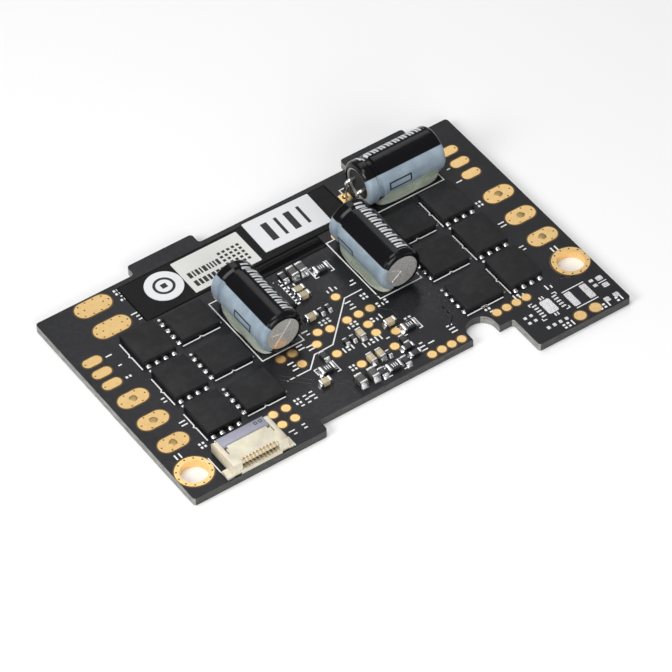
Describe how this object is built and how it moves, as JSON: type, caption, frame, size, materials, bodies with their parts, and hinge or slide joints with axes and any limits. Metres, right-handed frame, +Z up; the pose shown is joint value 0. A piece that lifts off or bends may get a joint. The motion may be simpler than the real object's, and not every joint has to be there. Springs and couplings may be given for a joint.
{
  "type": "electronic speed controller",
  "caption": "Bare-board motor speed controller: power transistors in two banks, laid-flat capacitors, solder pads, mounting holes and a flip-latch flat-cable socket.",
  "frame": {"origin": "centre of the board's outline, on its underside", "axes": "+X along the board's long side, +Y towards the edge with two tabs, +Z up out of the component side"},
  "size_m": [0.064, 0.0424, 0.0077],
  "materials": {
    "adhesive": "cloudy grey-green adhesive",
    "beige_ceramic": "beige fired ceramic",
    "capacitor_aluminium": "drawn aluminium, scored vent at the closed end",
    "connector_nylon": "ivory nylon",
    "contact_gold": "gold-plated contacts",
    "ferrite": "dark grey ferrite",
    "foil_winding": "wound foil and paper",
    "gold_plate": "immersion gold over copper, satin",
    "label_paper": "white label with black print",
    "latch_nylon": "lavender-grey nylon",
    "mould_compound": "black moulding compound, fine matte",
    "resistor_ceramic": "black glaze with a pale mark",
    "rubber_bung": "dull black rubber",
    "shrink_sleeve": "glossy black film with one pale blue-grey stripe",
    "solder": "bright tin solder",
    "solder_mask_board": "black solder mask over woven glass epoxy, satin, grey fibre at the cut edges",
    "tape_film": "glossy black film",
    "tinned_wire": "tinned wire"
  },
  "bodies": {
    "board": {"bare_footprints": "solder", "battery_pads": "gold_plate", "capacitor_1_bung": "rubber_bung", "capacitor_1_can": "capacitor_aluminium", "capacitor_1_leads": "tinned_wire", "capacitor_1_sleeve": "shrink_sleeve", "capacitor_1_winding": "foil_winding", "capacitor_2_bung": "rubber_bung", "capacitor_2_can": "capacitor_aluminium", "capacitor_2_leads": "tinned_wire", "capacitor_2_sleeve": "shrink_sleeve", "capacitor_2_winding": "foil_winding", "capacitor_3_bung": "rubber_bung", "capacitor_3_can": "capacitor_aluminium", "capacitor_3_leads": "tinned_wire", "capacitor_3_sleeve": "shrink_sleeve", "capacitor_3_winding": "foil_winding", "capacitor_adhesive": "adhesive", "capacitor_lead_pads": "gold_plate", "capacitor_solder_joints": "solder", "ceramic_capacitors": "beige_ceramic", "chip_resistors": "resistor_ceramic", "chip_terminals": "solder", "circuit_board": "solder_mask_board", "controller_ic": "mould_compound", "controller_ic_leads": "solder", "ferrite_beads": "ferrite", "ffc_contacts": "contact_gold", "ffc_hold_downs": "solder", "ffc_housing": "connector_nylon", "insulating_tape": "tape_film", "left_inner_mosfet_1": "mould_compound", "left_inner_mosfet_2": "mould_compound", "left_inner_mosfet_3": "mould_compound", "left_inner_mosfet_leads": "solder", "left_motor_pads": "gold_plate", "left_outer_mosfet_1": "mould_compound", "left_outer_mosfet_2": "mould_compound", "left_outer_mosfet_3": "mould_compound", "left_outer_mosfet_leads": "solder", "left_signal_pads": "gold_plate", "mounting_eyelets": "gold_plate", "right_inner_mosfet_1": "mould_compound", "right_inner_mosfet_2": "mould_compound", "right_inner_mosfet_3": "mould_compound", "right_inner_mosfet_leads": "solder", "right_motor_pads": "gold_plate", "right_outer_mosfet_1": "mould_compound", "right_outer_mosfet_2": "mould_compound", "right_outer_mosfet_3": "mould_compound", "right_outer_mosfet_leads": "solder", "right_signal_pads": "gold_plate", "round_label": "label_paper", "sense_resistors": "resistor_ceramic", "serial_label": "label_paper", "side_label": "label_paper", "test_pads": "gold_plate"},
    "latch": {"ffc_latch": "latch_nylon"}
  },
  "joints": [
    {"name": "latch_flip", "type": "hinge", "parent": "board", "child": "latch", "pos_m": [-0.02187, -0.01335, 0.00265], "axis": [1, 0, 0], "range_deg": [0, 90]}
  ]
}
